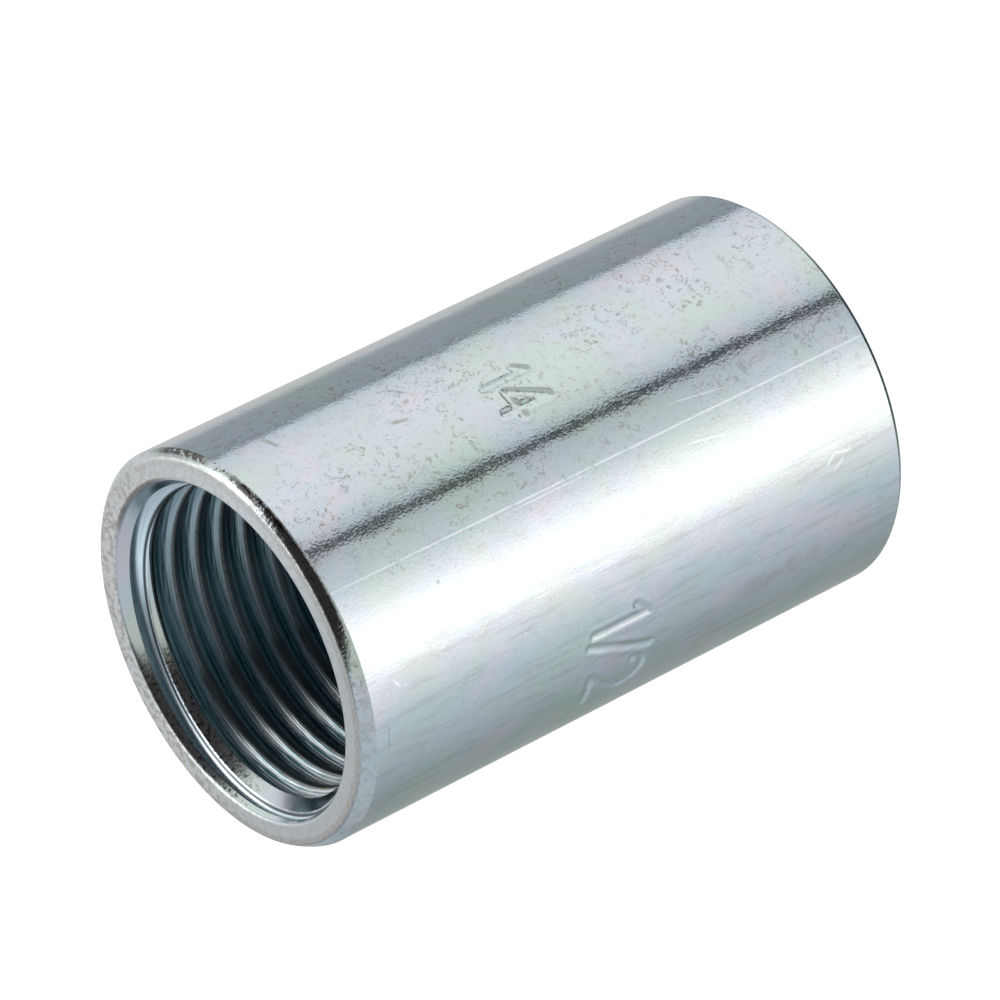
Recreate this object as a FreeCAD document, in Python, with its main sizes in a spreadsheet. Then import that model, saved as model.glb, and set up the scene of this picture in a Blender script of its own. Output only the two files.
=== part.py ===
import FreeCAD, Part
import math
import os
import Sketcher
from FreeCAD import Vector

# Rigid conduit coupling, trade size 1/2: one length of steel tube, faced square and bevelled at
# both ends, countersunk at both mouths and tapped right through. It stands on one end, with the
# bore along +Z and the origin at the centre of the lower end face.

doc = FreeCAD.newDocument("conduit_coupling")

# Driving dimensions in millimetres, and the countersink's included angle in degrees.
# The wall is measured to the thread crests, so the bore is the cylinder that they lie on. The
# upper end has the wider bevel, as the photograph shows.
driving_sizes = {
    "outer_diameter": 25.65,
    "sleeve_length": 41.8,
    "wall_thickness": 2.925,
    "countersink_width": 1.05,
    "countersink_angle": 60,
    "upper_bevel_width": 0.525,
    "upper_bevel_depth": 0.69,
    "lower_bevel_width": 0.25,
    "lower_bevel_depth": 0.33,
    "mouth_round": 0.3,
}
sheet = doc.addObject("Spreadsheet::Sheet", "sizes")
for row, (alias, value) in enumerate(driving_sizes.items(), start=1):
    sheet.set("A%d" % row, alias)
    sheet.set("B%d" % row, str(value))
    sheet.setAlias("B%d" % row, alias)
doc.recompute()

# Wall section, drawn on one side of the axis as eight lines from the lower face round to the
# lower countersink.
body = doc.addObject("PartDesign::Body", "coupling_sleeve")
body.Label = "coupling_sleeve"
section_plane = next(plane for plane in body.Origin.OriginFeatures if plane.Role == "XZ_Plane")
section = body.newObject("Sketcher::SketchObject", "wall_section")
section.AttachmentSupport = (section_plane, [""])
section.MapMode = "FlatFace"

outer_radius = sheet.outer_diameter / 2
bore_radius = outer_radius - sheet.wall_thickness
mouth_radius = bore_radius + sheet.countersink_width
first_depth = sheet.countersink_width
corners = [
    Vector(mouth_radius, 0, 0),
    Vector(outer_radius - sheet.lower_bevel_width, 0, 0),
    Vector(outer_radius, sheet.lower_bevel_depth, 0),
    Vector(outer_radius, sheet.sleeve_length - sheet.upper_bevel_depth, 0),
    Vector(outer_radius - sheet.upper_bevel_width, sheet.sleeve_length, 0),
    Vector(mouth_radius, sheet.sleeve_length, 0),
    Vector(bore_radius, sheet.sleeve_length - first_depth, 0),
    Vector(bore_radius, first_depth, 0),
]
section_lines = [
    section.addGeometry(Part.LineSegment(start, end), False)
    for start, end in zip(corners, corners[1:] + corners[:1])
]
(lower_face, lower_bevel, outer_wall, upper_bevel,
 upper_face, upper_cone, bore_wall, lower_cone) = section_lines

START, END = 1, 2
ORIGIN, HORIZONTAL_AXIS = -1, -1
for line, next_line in zip(section_lines, section_lines[1:] + section_lines[:1]):
    section.addConstraint(Sketcher.Constraint("Coincident", line, END, next_line, START))
section.addConstraint(Sketcher.Constraint("Horizontal", lower_face))
section.addConstraint(Sketcher.Constraint("Horizontal", upper_face))
section.addConstraint(Sketcher.Constraint("Vertical", outer_wall))
section.addConstraint(Sketcher.Constraint("Vertical", bore_wall))
section.addConstraint(Sketcher.Constraint("PointOnObject", lower_face, START, HORIZONTAL_AXIS))
section.addConstraint(Sketcher.Constraint("Vertical", lower_face, START, upper_face, END))
section.addConstraint(Sketcher.Constraint("Equal", lower_cone, upper_cone))


def bind(name, kind, first, second, start_value, expression):
    """Adds a named dimension between two points of the section and ties it to the sheet."""
    number = section.addConstraint(Sketcher.Constraint(kind, *first, *second, start_value))
    section.renameConstraint(number, name)
    section.setExpression("Constraints." + name, expression)


bind("outer_radius", "DistanceX", (ORIGIN, START), (outer_wall, START), outer_radius,
     "sizes.outer_diameter / 2")
bind("bore_radius", "DistanceX", (ORIGIN, START), (bore_wall, START), bore_radius,
     "sizes.outer_diameter / 2 - sizes.wall_thickness")
bind("sleeve_length", "DistanceY", (lower_face, START), (upper_face, END), sheet.sleeve_length,
     "sizes.sleeve_length")
bind("lower_bevel_width", "DistanceX", (lower_bevel, START), (lower_bevel, END), sheet.lower_bevel_width,
     "sizes.lower_bevel_width")
bind("lower_bevel_depth", "DistanceY", (lower_bevel, START), (lower_bevel, END), sheet.lower_bevel_depth,
     "sizes.lower_bevel_depth")
bind("upper_bevel_width", "DistanceX", (upper_bevel, END), (upper_bevel, START), sheet.upper_bevel_width,
     "sizes.upper_bevel_width")
bind("upper_bevel_depth", "DistanceY", (upper_bevel, START), (upper_bevel, END), sheet.upper_bevel_depth,
     "sizes.upper_bevel_depth")
bind("countersink_width", "DistanceX", (lower_cone, START), (lower_cone, END), sheet.countersink_width,
     "sizes.countersink_width")
bind("countersink_depth", "DistanceY", (lower_cone, END), (lower_cone, START), first_depth,
     "sizes.countersink_width / tan(sizes.countersink_angle / 2 * 1 deg)")
doc.recompute()

# The section turned about the axis is the faced, bevelled, bored and countersunk sleeve.
turned_sleeve = body.newObject("PartDesign::Revolution", "turned_sleeve")
turned_sleeve.Profile = section
turned_sleeve.ReferenceAxis = (section, ["V_Axis"])
turned_sleeve.Angle = 360
doc.recompute()

# The lip where each end face runs into its countersink is rounded. The bevels keep crisp edges.
lip_edges = [
    "Edge%d" % number
    for number, edge in enumerate(turned_sleeve.Shape.Edges, start=1)
    if isinstance(edge.Curve, Part.Circle) and math.isclose(edge.Curve.Radius, mouth_radius)
]
mouth_lips = body.newObject("PartDesign::Fillet", "mouth_lips")
mouth_lips.Base = (turned_sleeve, lip_edges)
mouth_lips.setExpression("Radius", "sizes.mouth_round")
doc.recompute()

for item in doc.Objects:
    if "Invalid" in item.State or "Error" in item.State:
        raise RuntimeError("%s did not recompute: %s" % (item.Label, item.State))
if body.Shape.isNull() or not body.Shape.isValid() or len(body.Shape.Solids) != 1:
    raise RuntimeError("%s is not one valid solid" % body.Label)

os.makedirs("parts", exist_ok=True)
body.Shape.exportStep("parts/%s.step" % body.Label)
print("%s: %.1f mm3" % (body.Label, body.Shape.Volume), body.Shape.BoundBox)
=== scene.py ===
import math

import bpy
from mathutils import Matrix, Vector


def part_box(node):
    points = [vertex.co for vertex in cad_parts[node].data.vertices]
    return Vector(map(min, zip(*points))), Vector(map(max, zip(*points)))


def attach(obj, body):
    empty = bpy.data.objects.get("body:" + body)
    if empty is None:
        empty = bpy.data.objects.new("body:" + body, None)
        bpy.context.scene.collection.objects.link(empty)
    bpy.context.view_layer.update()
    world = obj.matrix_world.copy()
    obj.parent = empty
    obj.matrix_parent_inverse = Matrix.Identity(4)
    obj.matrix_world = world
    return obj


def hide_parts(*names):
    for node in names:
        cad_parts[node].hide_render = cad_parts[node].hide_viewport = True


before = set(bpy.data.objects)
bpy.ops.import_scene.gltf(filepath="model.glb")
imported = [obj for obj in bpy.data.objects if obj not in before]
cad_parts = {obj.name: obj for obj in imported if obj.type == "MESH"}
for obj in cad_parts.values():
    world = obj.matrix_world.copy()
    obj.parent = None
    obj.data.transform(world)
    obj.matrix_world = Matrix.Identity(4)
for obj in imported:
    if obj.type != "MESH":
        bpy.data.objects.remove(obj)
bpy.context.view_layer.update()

# The sleeve is one length of mild-steel tube, faced and bevelled at both ends, countersunk at both
# mouths and tapped right through with a right-hand pipe thread. Its trade size and its threads per
# inch are struck into the barrel with number punches, and then the whole piece is zinc plated.

MM = 0.001
FULL_TURN = 2 * math.pi
lowest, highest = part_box("coupling_sleeve")
sleeve_length = highest[2] - lowest[2]
outer_radius = highest[0]
upper_bevel_width = 0.525 * MM
bevel_deepest = math.radians(-95)
crest_radius = 9.9 * MM
mouth_radius = 10.95 * MM
countersink_half_angle = math.radians(30)
thread_pitch = 25.4 / 14 * MM
thread_start = 1.03 * MM
crest_share, root_share, corner_share = 0.27, 0.10, 0.05
crest_rounding = 0.16 * MM
struck_from, struck_to = 19.2 * MM, 25.6 * MM
sleeve_sizes = {
    "Outer radius": outer_radius,
    "Length": sleeve_length,
    "Upper bevel width": upper_bevel_width,
    "Upper bevel depth": 0.69 * MM,
    "Lower bevel width": 0.25 * MM,
    "Lower bevel depth": 0.33 * MM,
    "Bevel unevenness": 0.42,
    "Bevel crown": 0.05 * MM,
    "Edge round": 0.08 * MM,
    "Crest radius": crest_radius,
    "Mouth radius": mouth_radius,
    "Mouth round": 0.30 * MM,
    "Pitch": thread_pitch,
    "Thread depth": 0.99 * MM,
    "Thread start": thread_start,
    "Strike depth": 0.11 * MM,
    "Strike half width": 0.36 * MM,
    "Strike lip": 0.018 * MM,
}


class Wire:
    """A node's output socket. Arithmetic on it adds Math nodes to its tree."""

    def __init__(self, tree, socket=None):
        self.tree = tree
        self.socket = socket

    def node(self, kind, settings=None, sockets=None, output=0):
        """Adds a node, sets it up, and then gives its sockets their values or links."""
        made = self.tree.nodes.new(kind)
        for name, value in (settings or {}).items():
            if name == "stops":
                fill_ramp(made.color_ramp, value)
            elif name == "items":
                while len(made.index_switch_items) < value:
                    made.index_switch_items.new()
            else:
                setattr(made, name, value)
        for name, value in (sockets or {}).items():
            for single in value if isinstance(value, list) else [value]:
                if isinstance(single, Wire):
                    self.tree.links.new(single.socket, made.inputs[name])
                else:
                    made.inputs[name].default_value = single
        return Wire(self.tree, made.outputs[output]) if made.outputs else None

    def math(self, operation, *others):
        return self.node("ShaderNodeMath", {"operation": operation}, dict(enumerate((self,) + others)))

    def __add__(self, other):
        return self.math("ADD", other)

    __radd__ = __add__

    def __sub__(self, other):
        return self.math("SUBTRACT", other)

    def __rsub__(self, other):
        return self.math("MULTIPLY", -1.0) + other

    def __mul__(self, other):
        return self.math("MULTIPLY", other)

    __rmul__ = __mul__

    def __truediv__(self, other):
        return self.math("DIVIDE", other)

    def part(self, axis):
        """One coordinate of a vector."""
        return self.node("ShaderNodeSeparateXYZ", None, {"Vector": self}, axis)

    def ease(self, start, end, low=0.0, high=1.0):
        """Goes smoothly from low to high while the value goes from start to end."""
        return self.node("ShaderNodeMapRange", {"interpolation_type": "SMOOTHSTEP"}, {
            "Value": self, "From Min": start, "From Max": end, "To Min": low, "To Max": high})

    def toward(self, other, amount):
        """Mixes this colour with another."""
        return self.node("ShaderNodeMix", {"data_type": "RGBA"}, {0: amount, 6: self, 7: other}, 2)


def fill_ramp(ramp, stops):
    """Gives a colour ramp its stops of place and colour."""
    while len(ramp.elements) < len(stops):
        ramp.elements.new(1.0)
    for element, (place, colour) in zip(ramp.elements, stops):
        element.position = place
        element.color = (*colour, 1.0)


def number_strokes():
    """The lines that the number punches leave, drawn flat: x round the barrel, y along it."""
    digit_middle = 2.1
    bowl_radius, bowl_x, bowl_y = 1.15, 1.2, 3.05
    bowl_bearings = [math.radians(degrees) for degrees in range(165, -46, -15)]
    bowl = [(bowl_x + bowl_radius * math.cos(a), bowl_y + bowl_radius * math.sin(a)) for a in bowl_bearings]
    one = [(0.25, 3.35), (1.0, 4.2), (1.0, 0.0)]
    slash = [(0.0, -0.3), (2.0, 4.5)]
    two = bowl + [(0.05, 0.0), (2.4, 0.0)]
    four = [(1.75, 0.0), (1.75, 4.2), (0.0, 1.25), (2.45, 1.25)]

    # Each group has its bearing in degrees, its height in millimetres, its size and its spaced digits.
    groups = (
        (-38.0, 22.4, 1.0, ((one, 0.0), (slash, 1.75), (two, 4.3))),
        (38.0, 22.9, 0.78, ((one, 0.0), (four, 2.0))),
    )
    points, lines = [], []
    for bearing, height, size, digits in groups:
        left = math.radians(bearing) * outer_radius
        for digit, offset in digits:
            first = len(points)
            for x, y in digit:
                round_barrel = left - size * (x + offset) * MM
                up_barrel = (height - size * (y - digit_middle)) * MM
                points.append((round_barrel, up_barrel, 0.0))
            lines += [(i, i + 1) for i in range(first, len(points) - 1)]
    mesh = bpy.data.meshes.new("number_strokes")
    mesh.from_pydata(points, lines, [])
    return bpy.data.objects.new("number_strokes", mesh)


def sleeve_tree():
    """Turns the blank, strikes the numbers, countersinks both mouths and taps the bore."""
    tree = bpy.data.node_groups.new("turned_and_tapped_sleeve", "GeometryNodeTree")
    tree.is_modifier = True
    kinds = dict.fromkeys(sleeve_sizes, "NodeSocketFloat")
    kinds.update({"Strokes": "NodeSocketObject", "Finish": "NodeSocketMaterial"})
    identifiers = {name: tree.interface.new_socket(name, in_out="INPUT", socket_type=kind).identifier
                   for name, kind in kinds.items()}
    tree.interface.new_socket("Sleeve", in_out="OUTPUT", socket_type="NodeSocketGeometry")
    start = Wire(tree)
    entry = tree.nodes.new("NodeGroupInput")
    size = {socket.name: Wire(tree, socket) for socket in entry.outputs if socket.name}
    barrel, length = size["Outer radius"], size["Length"]
    crest, pitch = size["Crest radius"], size["Pitch"]
    bottom = length * 0.0
    flat = start.node("GeometryNodeInputPosition")
    angle, place = flat.part(0) * FULL_TURN, flat.part(1) + 0.5
    barrel_columns, struck_rows, bore_columns = 512, 44, 192
    weld_distance = 0.002 * MM
    overrun = 1.0 * MM

    def turned(rows, columns, radius, height):
        """A band turned about the axis, its radius and height by angle and place. Angle 0 is the front."""
        grid = start.node("GeometryNodeMeshGrid", None, {
            "Size X": 1.0, "Size Y": 1.0, "Vertices X": columns + 1, "Vertices Y": rows + 1})
        round_axis = start.node("ShaderNodeCombineXYZ", None, {
            "X": radius * angle.math("SINE"), "Y": radius * angle.math("COSINE") * -1.0, "Z": height})
        return start.node("GeometryNodeSetPosition", None, {"Geometry": grid, "Position": round_axis})

    def between(first, second, share):
        return tuple(a + (b - a) * share for a, b in zip(first, second))

    def bands(points, columns):
        """Plain bands turned between each point of a section, a radius and a height, and the next."""
        pairs = zip(points, points[1:])
        return [turned(1, columns, *between(first, second, place)) for first, second in pairs]

    def welded(*parts):
        joined = start.node("GeometryNodeJoinGeometry", None, {"Geometry": list(reversed(parts))})
        return start.node("GeometryNodeMergeByDistance", None, {
            "Geometry": joined, "Distance": weld_distance})

    def eased(before, corner, after):
        """A rounded corner, with a narrow flat strip on each side that keeps the faces flat."""
        middle = between(between(before, corner, 0.5), between(corner, after, 0.5), 0.5)
        return [between(before, corner, -0.5), before, middle, after, between(after, corner, -0.5)]

    def end_section(face, outward, width, depth, crown):
        """One end from the axis to the barrel: the flat face and the crowned bevel, with rounded edges."""
        edge = size["Edge round"]
        inner_edge = (barrel - width, face)
        outer_edge = (barrel, face - depth * outward)
        on_face, on_barrel = (inner_edge[0] - edge, face), (barrel, outer_edge[1] - edge * outward)
        crown_out, crown_up = 0.8, 0.6
        bevel = []
        for share in (0.1, 0.3, 0.5, 0.7, 0.9):
            radius, height = between(inner_edge, outer_edge, share)
            swell = crown * (4 * share * (1 - share))
            bevel.append((radius + swell * crown_out, height + swell * (crown_up * outward)))
        return [(bottom, face), *eased(on_face, inner_edge, bevel[0]), *bevel[1:-1],
                *eased(bevel[-1], outer_edge, on_barrel)]

    def struck_radius(height):
        """The barrel's radius where the number punches went in and raised a lip."""
        unrolled = start.node("ShaderNodeCombineXYZ", None, {"X": angle * barrel, "Y": height})
        strokes = start.node("GeometryNodeObjectInfo", None, {"Object": size["Strokes"]}, "Geometry")
        away = start.node("GeometryNodeProximity", {"target_element": "EDGES"}, {
            "Geometry": strokes, "Sample Position": unrolled}, "Distance")
        half = size["Strike half width"]
        groove = away.ease(half * 0.3, half, size["Strike depth"], 0.0)
        lip = away.ease(half * 0.8, half * 1.25) * away.ease(half * 1.25, half * 2.0, size["Strike lip"], 0.0)
        return barrel - groove + lip

    lean = (angle - bevel_deepest).math("COSINE") * size["Bevel unevenness"] + 1
    lower_end = end_section(bottom, -1.0, size["Lower bevel width"], size["Lower bevel depth"], bottom)
    upper_end = end_section(
        length, 1.0, size["Upper bevel width"], size["Upper bevel depth"] * lean, size["Bevel crown"])
    struck_height = place * (struck_to - struck_from) + struck_from
    blank = welded(
        *bands(lower_end + [(barrel, struck_from)], barrel_columns),
        turned(struck_rows, barrel_columns, struck_radius(struck_height), struck_height),
        *bands([(barrel, struck_to)] + upper_end[::-1], barrel_columns))

    # The tap has rows on its crest and root corners, wound into a helix. Past the ends of the sleeve
    # the rows lie flat, and the first and last close on the axis.
    half_crest, half_root = crest_share / 2, root_share / 2
    corner_rows = (
        -half_crest - corner_share, -half_crest, -half_crest + corner_share,
        half_crest - corner_share, half_crest, half_crest + corner_share,
        0.5 - half_root, 0.5 + half_root)
    first_turn, spare_turns = -3, 7
    tap_rows = (int(sleeve_length / thread_pitch) + spare_turns) * len(corner_rows)
    row = (place * tap_rows).math("ROUND")
    whole = (row / len(corner_rows)).math("FLOOR")
    corner = start.node("GeometryNodeIndexSwitch", {"data_type": "FLOAT", "items": len(corner_rows)}, {
        "Index": row - whole * len(corner_rows), **{str(i): value for i, value in enumerate(corner_rows)}})
    height = pitch * (whole + corner + angle / FULL_TURN + first_turn) + size["Thread start"]
    flank = (corner.math("ABSOLUTE") - half_crest) * (size["Thread depth"] / (0.5 - half_root - half_crest))
    cut = flank.math("SMOOTH_MAX", 0.0, crest_rounding).math("MINIMUM", size["Thread depth"])
    top = length + overrun
    outside = height.math("LESS_THAN", -overrun) + height.math("GREATER_THAN", top)
    pole = row.math("LESS_THAN", 0.5) + row.math("GREATER_THAN", tap_rows - 0.5)
    tap = welded(turned(
        tap_rows, bore_columns, (crest + cut * (1 - outside)) * (1 - pole),
        height.math("MAXIMUM", -overrun).math("MINIMUM", top)))

    def countersink(face, outward):
        """A cone with a rounded lip at the mouth, as a closed solid to cut with."""
        mouth, lip = size["Mouth radius"], size["Mouth round"]
        lip_reach = math.tan((math.pi / 2 - countersink_half_angle) / 2)
        inner = crest - overrun
        depth = (mouth - inner) / math.tan(countersink_half_angle)
        foot = (inner, face - depth * outward)
        arc = []
        for degrees in (60, 50, 40, 30, 20, 10, 0):
            bend = math.radians(degrees)
            out = mouth + lip * (lip_reach - math.sin(bend))
            arc.append((out, face - lip * (outward * (1 - math.cos(bend)))))
        flat_strip = between(arc[0], foot, 0.05)
        above = face + outward * overrun
        section = [(bottom, foot[1]), foot, flat_strip, *arc, (arc[-1][0], above), (bottom, above)]
        return welded(*bands(section if outward > 0 else section[::-1], bore_columns))

    bored = start.node("GeometryNodeMeshBoolean", {"operation": "DIFFERENCE", "solver": "MANIFOLD"}, {
        "Mesh 1": blank, "Mesh 2": [tap, countersink(length, 1.0), countersink(bottom, -1.0)]})
    meeting = Wire(tree, bored.socket.node.outputs["Intersecting Edges"])
    crease = start.node("GeometryNodeInputMeshEdgeAngle").math("GREATER_THAN", math.radians(32))
    smooth = start.node("GeometryNodeSetShadeSmooth", {"domain": "FACE"}, {
        "Geometry": bored, "Shade Smooth": True})
    creased = start.node("GeometryNodeSetShadeSmooth", {"domain": "EDGE"}, {
        "Geometry": smooth, "Selection": crease + meeting, "Shade Smooth": False})
    real = start.node("GeometryNodeRealizeInstances", None, {"Geometry": creased})
    finished = start.node("GeometryNodeSetMaterial", None, {"Geometry": real, "Material": size["Finish"]})
    start.node("NodeGroupOutput", None, {"Sleeve": finished})
    return tree, identifiers


def rgb(red, green, blue):
    return (red, green, blue, 1.0)


def zinc_plate_finish():
    """Bright zinc with a clear blue passivation: cloudy tints, stains, scratches, grain and dirt, with
    painted shade and highlights on the end faces, the mouth's lip and the thread.
    """
    finish = bpy.data.materials.new("zinc_plate_clear_blue")
    finish.use_nodes = True
    shader = finish.node_tree.nodes["Principled BSDF"]
    start = Wire(finish.node_tree)
    place = start.node("ShaderNodeTexCoord", None, None, "Object")
    spot = start.node("ShaderNodeVectorMath", {"operation": "SCALE"}, {"Vector": place, "Scale": 1 / MM})
    x, y, z = spot.part(0), spot.part(1), spot.part(2)
    radius = (x * x + y * y).math("SQRT")
    angle = x.math("ARCTAN2", y * -1.0)
    down = sleeve_length / MM - z
    from_end = z.math("MINIMUM", down)
    barrel, mouth, crest = outer_radius / MM, mouth_radius / MM, crest_radius / MM
    bevel = barrel - upper_bevel_width / MM

    def noise(scale, detail=2.0, rough=0.5, twist=0.0, where=spot):
        sockets = {"Vector": where, "Scale": scale, "Detail": detail, "Roughness": rough, "Distortion": twist}
        return start.node("ShaderNodeTexNoise", None, sockets, "Fac")

    def near(value, middle, reach):
        """One at the middle value, falling to nothing at the reach to either side."""
        return (value - middle).math("ABSOLUTE").ease(reach, reach * 0.4)

    def around(degrees, reach):
        """One at a bearing from the front, falling to nothing at the reach to either side, in degrees."""
        return near(angle, math.radians(degrees), math.radians(reach))

    def facing(degrees, low, high):
        """Rises towards a bearing, between two cosines of the angle from it."""
        return (angle - math.radians(degrees)).math("COSINE").ease(low, high)

    # Where the surface is end face, bevel, barrel, countersink or thread, in millimetres.
    cone_gap = (radius + from_end * math.tan(countersink_half_angle) - mouth).math("ABSOLUTE")
    on_face = from_end.ease(0.12, 0.04) * radius.ease(mouth - 0.10, mouth)
    on_bevel = from_end.ease(1.06, 1.0) * radius.ease(bevel - 0.04, bevel + 0.02)
    on_bevel = on_bevel * radius.ease(barrel - 0.005, barrel - 0.02)
    on_barrel = radius.ease(barrel - 0.225, barrel - 0.175) * (1 - on_bevel)
    in_bore = radius.ease(mouth + 0.25, mouth + 0.05) * (1 - on_face)
    on_cone = in_bore * cone_gap.ease(0.09, 0.04) * from_end.ease(2.0, 1.8)
    on_thread = in_bore * (1 - on_cone)
    on_crest = on_thread * radius.ease(crest + 0.13, crest + 0.05)

    # Noises that several of the marks share.
    grain = noise(5.0, 2.0, 0.65)
    fine = noise(3.4, 2.0, 0.6)
    medium = noise(2.3, 2.0, 0.6)
    broad = noise(0.9, 2.0, 0.6)
    patch = noise(0.28, 1.0)

    # Clouds of the passivation: pale green, pale blue and lavender.
    clouds = ((0.30, (0.61, 0.71, 0.67)), (0.46, (0.62, 0.69, 0.70)),
              (0.56, (0.62, 0.69, 0.75)), (0.70, (0.70, 0.68, 0.73)))
    cloud = noise(0.17, 2.0, 0.55, 0.6)
    colour = start.node("ShaderNodeValToRGB", {"stops": clouds}, {"Fac": cloud}, "Color")

    # Barrel: a teal patch, drawn marks and bright flecks on the low side, and brown stains, as hair-like
    # marks and dots in clusters, most of them on the upper side.
    teal_tint, drawn_grey = rgb(0.48, 0.66, 0.62), rgb(0.50, 0.55, 0.56)
    fleck_white, stain_brown = rgb(0.90, 0.93, 0.94), rgb(0.35, 0.33, 0.29)
    teal_patch = on_barrel * around(-76, 26) * patch.ease(0.40, 0.58)
    low_side = on_barrel * around(-52, 56)
    lengthwise = start.node("ShaderNodeCombineXYZ", None, {"X": x * 2.2, "Y": y * 2.2, "Z": z * 0.22})
    drawn = noise(1.0, 2.0, 0.6, 0.0, lengthwise).ease(0.50, 0.66)
    cluster = patch.ease(0.42, 0.60)
    hair = (noise(2.1, 1.0, 0.4, 1.0) - 0.5).math("ABSOLUTE").ease(0.06, 0.01)
    hair = hair * noise(1.7, 1.0).ease(0.47, 0.56)
    dots = noise(4.2, 0.0).ease(0.70, 0.78)
    upper_side = around(38, 50) * 0.75 + 0.25
    stain = hair * (cluster * 0.50 + 0.26) + dots * (cluster * 0.32 + 0.12)
    colour = colour.toward(teal_tint, teal_patch * 0.5)
    colour = colour.toward(drawn_grey, low_side * drawn * 0.55)
    colour = colour.toward(fleck_white, low_side * fine.ease(0.69, 0.75) * 0.7)
    colour = colour.toward(stain_brown, on_barrel * upper_side * stain)

    def mark(degrees, distance, half_length, half_width, lean):
        """A straight mark on the barrel: bearing, distance from the upper end, half sizes and lean."""
        turn = math.radians(lean)
        round_barrel = (angle - math.radians(degrees)) * barrel
        down_barrel = down - distance
        along = down_barrel * math.cos(turn) + round_barrel * math.sin(turn)
        aside = round_barrel * math.cos(turn) - down_barrel * math.sin(turn)
        return on_barrel * near(along, 0.0, half_length) * near(aside, 0.0, half_width)

    def all_of(marks):
        return sum((mark(*each) for each in marks[1:]), mark(*marks[0]))

    # Handling marks: one long scratch, short ones beside it and by the ends, brown smears, a dark dot,
    # and a rosy smear on the low side.
    scratch_white, rosy_grey = rgb(0.93, 0.95, 0.96), rgb(0.54, 0.51, 0.52)
    smear_brown = rgb(0.25, 0.22, 0.15)
    scratches = (
        (1.7, 22.0, 30.0, 0.085, -0.2), (0.6, 17.0, 4.0, 0.05, 0.0), (6.4, 29.0, 2.6, 0.06, -8.0),
        (-5.1, 28.3, 1.7, 0.06, -9.0), (-25.8, 36.3, 0.6, 0.07, 37.0), (-25.0, 37.3, 0.8, 0.07, -12.0),
        (-27.9, 36.9, 0.7, 0.06, 34.0), (-26.9, 2.8, 0.5, 0.09, -53.0))
    smears = (
        (50.5, 4.2, 1.0, 0.24, -81.0), (47.0, 13.0, 0.7, 0.20, -60.0), (37.0, 11.4, 0.8, 0.22, -10.0),
        (-41.2, 1.8, 1.1, 0.05, 87.0), (-7.4, 7.5, 0.17, 0.17, 0.0))
    scratch = all_of(scratches) * broad.ease(0.24, 0.46)
    smear = all_of(smears) * fine.ease(0.30, 0.52)
    rosy = mark(-53.0, 32.0, 4.6, 1.1, 2.0) * broad.ease(0.36, 0.56)
    colour = colour.toward(rosy_grey, rosy * 0.6)
    colour = colour.toward(scratch_white, scratch * 0.85)
    colour = colour.toward(smear_brown, smear * 0.55)

    # End faces: grey, bluer in front, darker on the low side as painted shade, mottled, and brown and pitted
    # by the bevel, the brown deeper on that side as painted shade too.
    face_grey, face_blue, face_painted_shade = rgb(0.64, 0.65, 0.65), rgb(0.67, 0.70, 0.72), rgb(0.49, 0.53, 0.54)
    mottle_brown, strip_brown = rgb(0.40, 0.39, 0.37), rgb(0.34, 0.28, 0.27)
    pits = grain.ease(0.50, 0.66)
    mottle = medium.ease(0.44, 0.62)
    strip = on_face * radius.ease(bevel - 0.5, bevel - 0.3)
    blue_side = around(15, 72) * radius.ease(bevel - 0.4, bevel - 0.7)
    shaded_side = facing(-65, -0.3, 0.9)
    far_side = facing(165, 0.0, 0.7)
    colour = colour.toward(face_grey, on_face * 0.9)
    colour = colour.toward(face_blue, on_face * blue_side)
    # Painted shade: the end faces darkened on their shaded side.
    colour = colour.toward(face_painted_shade, on_face * shaded_side * 0.8)
    colour = colour.toward(mottle_brown, on_face * mottle * (far_side * 0.55 + 0.28))
    # The brown strip by the bevel is real; its extra depth on the shaded side is painted shade.
    colour = colour.toward(strip_brown, strip * (pits * 0.55 + 0.32) * (shaded_side * 0.8 + 0.2))

    # Rims: a greenish mottle on the bevels, dark specks on the front of the bevels and the back of the
    # countersinks, and at the upper end brown dirt just below the rim and painted shade, broken up like a
    # smudge, on the mouth's lip.
    bevel_green, speck_brown = rgb(0.50, 0.56, 0.54), rgb(0.10, 0.08, 0.07)
    dirt_brown, lip_shade_colour = rgb(0.06, 0.045, 0.04), rgb(0.16, 0.13, 0.12)
    front_rim = on_bevel * around(14, 56)
    back_cone = on_cone * facing(200, 0.80, 0.92)
    specks = fine.ease(0.54, 0.64)
    rim_edge = down.ease(0.64, 0.52) * down.ease(0.12, 0.24)
    dirt = around(66, 15) * medium.ease(0.28, 0.52)
    crumbs = around(42, 28) * fine.ease(0.56, 0.68)
    brown_edge = around(33, 17) * medium.ease(0.26, 0.56)
    mouth_lip = radius.ease(mouth + 0.27, mouth + 0.15) * radius.ease(mouth - 0.15, mouth - 0.05)
    # Painted shade: the mouth's lip darkened around bearing 100, broken up by noise.
    lip_painted_shade = mouth_lip * down.ease(0.40, 0.25) * around(100, 30) * broad.ease(0.22, 0.50)
    colour = colour.toward(bevel_green, on_bevel * medium.ease(0.46, 0.60) * 0.7)
    colour = colour.toward(speck_brown, (front_rim * 0.6 + back_cone) * specks * 0.8)
    colour = colour.toward(dirt_brown, rim_edge * (dirt + crumbs + brown_edge) * 0.9)
    colour = colour.toward(lip_shade_colour, lip_painted_shade * 0.75)
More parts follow.
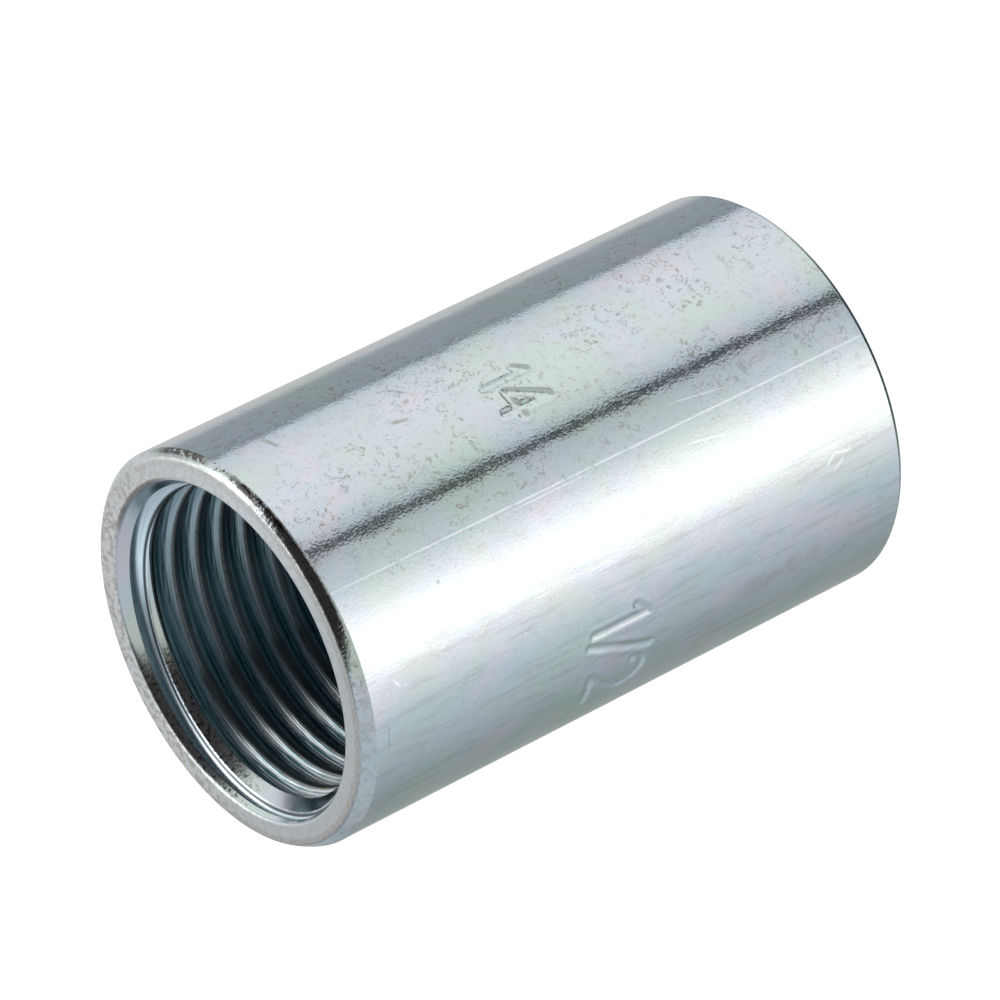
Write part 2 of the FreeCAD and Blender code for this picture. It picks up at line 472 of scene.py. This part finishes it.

    # Thread: dark teal, the plating's tint darkened as painted shade of the bore, with light streaks and a
    # light band along the flanks, and dark crests with brown edges.
    # Painted over it: light on the first flank, highlights as the band and as white streaks on two sides, and
    # shade towards the root, on the upper rows and on the back of the crests.
    # Where it runs out there is a dark burr, and on the countersink a teal smudge.
    bore_teal_shade, upper_shade_teal = rgb(0.18, 0.35, 0.385), rgb(0.26, 0.40, 0.47)
    streak_and_lit_blue, highlight_white = rgb(0.74, 0.86, 0.94), rgb(0.92, 0.94, 0.95)
    highlight_band_blue, crest_brown = rgb(0.82, 0.93, 1.0), rgb(0.36, 0.35, 0.33)
    crest_teal, crest_shade = rgb(0.09, 0.14, 0.16), rgb(0.10, 0.11, 0.12)
    smudge_teal, burr_black = rgb(0.14, 0.29, 0.31), rgb(0.02, 0.03, 0.04)
    turn_place = z / (thread_pitch / MM) - angle / FULL_TURN - thread_start / thread_pitch + 0.5
    across = turn_place - turn_place.math("FLOOR")
    wound = start.node("ShaderNodeCombineXYZ", None, {"X": x * 0.16, "Y": y * 0.16, "Z": across * 26.0})
    streak = noise(1.5, 2.0, 0.6, 0.0, wound)
    # Light streaks along the flanks, fading towards the root as painted shade.
    streak_with_root_shade = streak.ease(0.43, 0.56) * radius.ease(crest + 1.0, crest + 0.6, 0.15, 1.0)
    # Painted light: the first flank by the mouth made lighter, and smoother in the relief.
    lit_first_flank = on_thread * down.ease(2.7, 2.2) * (1 - on_crest)
    # Painted highlight: the streaks turned white on the side towards bearing 236.
    highlight_side = facing(236, 0.55, 0.90)
    # A smoother band on the flanks, painted light blue as a highlight on the side towards bearing 140.
    smooth_highlight_band = on_thread * facing(140, 0.2, 0.7) * across.ease(0.60, 0.66) * across.ease(0.82, 0.70)
    # Painted shade: the thread's rows darkened on the upper side, around bearing 112.
    upper_shade_rows = on_thread * (1 - lit_first_flank) * around(112, 45)
    crest_edges = on_crest * (across.ease(0.56, 0.60) + near(across, 0.375, 0.03))
    # Painted shade: the crests darkened on the back, around bearing 197.
    shaded_crest = on_thread * radius.ease(crest + 0.30, crest + 0.15) * facing(197, 0.95, 0.985)
    smudge = on_cone * around(-97, 17) * broad.ease(0.32, 0.52)
    burr = on_thread * near(cone_gap, 0.10, 0.10) * from_end.ease(2.2, 2.0)
    # The plating's teal tint, darkened as painted shade of the bore.
    colour = colour.toward(bore_teal_shade, on_thread)
    # Light streaks, and painted light on the first flank by the mouth.
    colour = colour.toward(streak_and_lit_blue, on_thread * (streak_with_root_shade + lit_first_flank * 0.75))
    colour = colour.toward(highlight_white, on_thread * highlight_side * streak_with_root_shade)
    colour = colour.toward(highlight_band_blue, smooth_highlight_band * streak.ease(0.36, 0.58, 0.45, 0.95))
    colour = colour.toward(upper_shade_teal, upper_shade_rows * 0.5)
    colour = colour.toward(crest_teal, on_crest * 0.9)
    colour = colour.toward(crest_brown, crest_edges * (1 - pits * 0.6))
    colour = colour.toward(crest_shade, shaded_crest * 0.8)
    colour = colour.toward(smudge_teal, smudge * 0.7)
    colour = colour.toward(burr_black, burr * 0.9)
    start.tree.links.new(colour.socket, shader.inputs["Base Color"])

    # Relief: peel on the barrel, grain on the end faces, rims and crests, and streaks along the thread.
    peel = noise(5.5, 1.0) * 0.0075 + noise(0.5, 1.0) * 0.021
    grain_depth = on_face * 0.012 + front_rim * 0.017 + back_cone * 0.015 + on_crest * 0.03
    streak_depth = on_thread * 0.034 - lit_first_flank * 0.027 - smooth_highlight_band * 0.020
    relief = peel * on_barrel + grain * grain_depth + streak * streak_depth
    bump = start.node("ShaderNodeBump", None, {"Strength": 1.0, "Distance": MM, "Height": relief})
    start.tree.links.new(bump.socket, shader.inputs["Normal"])

    # Gloss: bright all over, duller on the end faces, countersinks, front rim and thread.
    roughness = broad.ease(0.3, 0.7, 0.08, 0.11)
    roughness = roughness + on_face * 0.28 + on_cone * 0.10 + front_rim * mottle * 0.10
    roughness = roughness + on_thread * 0.20 + smooth_highlight_band * 0.12 + on_crest * 0.12
    start.tree.links.new(roughness.socket, shader.inputs["Roughness"])
    shader.inputs["Metallic"].default_value = 1.0
    return finish


def built_sleeve():
    """Runs the sleeve's tree once and keeps the result as a plain mesh."""
    tree, inputs = sleeve_tree()
    strokes = number_strokes()
    finish = zinc_plate_finish()
    blank = bpy.data.objects.new("coupling_sleeve_plated", bpy.data.meshes.new("sleeve_blank"))
    for item in (blank, strokes):
        bpy.context.scene.collection.objects.link(item)
    turning = blank.modifiers.new("turning", "NODES")
    turning.node_group = tree
    for name, value in {**sleeve_sizes, "Strokes": strokes, "Finish": finish}.items():
        turning[inputs[name]] = value
    worked = blank.evaluated_get(bpy.context.evaluated_depsgraph_get())
    mesh = bpy.data.meshes.new_from_object(worked)
    blank.modifiers.remove(turning)
    blank.data = mesh
    bpy.data.objects.remove(strokes)
    return blank


sleeve = built_sleeve()
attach(sleeve, "root")
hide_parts("coupling_sleeve")

# The floor is a plain white studio table top. It gives off most of its own light, so that the
# sleeve leaves only a faint shadow on it, as on a white sweep.

floor_reach = 4.0
floor_mesh = bpy.data.meshes.new("studio_floor")
floor_mesh.from_pydata(
    [(-floor_reach, -floor_reach, 0), (floor_reach, -floor_reach, 0),
     (floor_reach, floor_reach, 0), (-floor_reach, floor_reach, 0)], [], [(0, 1, 2, 3)])
floor = bpy.data.objects.new("studio_floor", floor_mesh)
bpy.context.scene.collection.objects.link(floor)
white_sweep = bpy.data.materials.new("white_sweep")
white_sweep.use_nodes = True
sweep = white_sweep.node_tree.nodes["Principled BSDF"]
sweep.inputs["Base Color"].default_value = rgb(0.3, 0.3, 0.3)
sweep.inputs["Roughness"].default_value = 1.0
sweep.inputs["Specular IOR Level"].default_value = 0.0
sweep.inputs["Emission Color"].default_value = rgb(1.0, 1.0, 1.0)
sweep.inputs["Emission Strength"].default_value = 1.0
floor_mesh.materials.append(white_sweep)
floor.visible_glossy = False

# The light is a ring of tall soft panels round the table, white, grey and blue by turns, which show
# as bands in the barrel, and a dark room behind the camera, which shows in the bevel and the bore.

studio = bpy.data.worlds.new("studio_panels")
studio.use_nodes = True
studio.node_tree.nodes.clear()
bpy.context.scene.world = studio
light = Wire(studio.node_tree)
heading = light.node("ShaderNodeTexCoord", None, None, "Generated")
sideways, forward, upward = heading.part(0), heading.part(1) * -1.0, heading.part(2)
bearing = sideways.math("ARCTAN2", forward) / FULL_TURN + 0.5


def panels(levels):
    """A ramp round the table, from stops of bearing in degrees, brightness and tint."""
    stops = [((degrees + 180.0) / 360.0, [level * part for part in tint]) for degrees, level, tint in levels]
    return light.node("ShaderNodeValToRGB", {"stops": stops}, {"Fac": bearing}, "Color")


plain, cool, teal, cream = (1.0, 1.0, 1.0), (0.93, 1.0, 1.05), (0.92, 1.0, 0.98), (1.0, 1.0, 0.93)
lavender, pale, warm = (0.99, 1.0, 1.02), (0.96, 1.0, 1.01), (1.04, 1.0, 0.985)
low_panels = panels((
    (-180, 0.60, plain), (-162, 0.39, teal), (-132, 0.39, teal), (-114, 0.47, cool), (-76, 0.76, cool),
    (-52, 1.12, warm), (-42, 1.6, warm), (-24, 1.75, warm), (-12, 1.3, warm), (4, 0.88, pale),
    (24, 0.64, pale), (26.2, 0.05, cool), (29.0, 0.05, cool), (31.5, 0.62, cool), (37, 0.82, pale),
    (46, 0.95, plain), (62, 1.04, plain), (88, 1.0, plain), (100, 0.90, plain), (109, 0.82, cool),
    (112, 0.20, cool), (114, 0.42, cool), (144, 0.42, cool), (150, 0.62, plain), (180, 0.60, plain)))
middle_panels = panels((
    (-180, 0.74, lavender), (-152, 0.50, cool), (-140, 0.45, cool), (-118, 0.60, cool), (-60, 0.66, cool),
    (-40, 0.68, cream), (50, 0.60, plain), (75, 0.80, plain), (98, 0.95, plain), (125, 0.95, plain),
    (135, 0.60, plain), (148, 0.80, plain), (180, 0.74, lavender)))
upper_panels = panels((
    (-180, 0.74, lavender), (-165, 0.80, cool), (-140, 0.95, cool), (-100, 0.95, cool), (-60, 0.75, cool),
    (50, 0.80, plain), (80, 1.40, plain), (105, 3.2, plain), (145, 3.2, plain), (170, 0.90, plain),
    (180, 0.74, lavender)))
room_shade, ground_shade = rgb(0.035, 0.030, 0.030), rgb(0.05, 0.07, 0.08)
dark_left = (sideways + forward * 0.30 + upward * 1.02).ease(0.40, 0.48)
dark_right = (upward * 0.95 + sideways).ease(1.37, 1.28)
dark_back = (forward + upward * 0.40).ease(0.19, 0.31)
dark_room = dark_left * dark_right * dark_back * upward.ease(0.20, 0.30)
room = middle_panels.toward(upper_panels, upward.ease(0.55, 0.75))
room = room.toward(room_shade, dark_room * upward.ease(1.0, 0.9, 0.85, 1.0))
walls = low_panels.toward(room, upward.ease(-0.42, -0.20))
walls = walls.toward(ground_shade, upward.ease(-0.75, -0.95))
glow = light.node("ShaderNodeBackground", None, {"Color": walls})
light.node("ShaderNodeOutputWorld", None, {"Surface": glow})

# The camera stands in front of the sleeve, looks down at it with a long lens, and is turned on its
# side, so that the standing sleeve lies across the picture as it does in the photograph.

picture_pixels = 1000
focal_pixels = 7685.7
camera_distance = 461.7 * MM
camera_elevation = math.radians(90) - 1.0318
camera_roll = -math.radians(90) - 0.4575
aim_below_top = 20.78 * MM
aim_up_pixels, aim_left_pixels = 18.44, 0.64
back = Vector((0.0, -math.cos(camera_elevation), math.sin(camera_elevation)))
level_right = Vector((1.0, 0.0, 0.0))
level_up = back.cross(level_right)
right = level_right * math.cos(camera_roll) + level_up * math.sin(camera_roll)
up = back.cross(right)
camera_data = bpy.data.cameras.new("front_camera")
camera_data.sensor_width = 36.0
camera_data.lens = focal_pixels / picture_pixels * camera_data.sensor_width
camera_data.clip_start = 0.01
camera_data.clip_end = 20.0
camera = bpy.data.objects.new("front_camera", camera_data)
bpy.context.scene.collection.objects.link(camera)
pixel_size = camera_distance / focal_pixels
aim = Vector((0.0, 0.0, sleeve_length - aim_below_top))
aim = aim + up * (aim_up_pixels * pixel_size) - right * (aim_left_pixels * pixel_size)
camera_turn = Matrix((right, up, back)).transposed().to_4x4()
camera.matrix_world = Matrix.Translation(aim + back * camera_distance) @ camera_turn
bpy.context.scene.camera = camera
bpy.context.scene.view_settings.view_transform = "Standard"
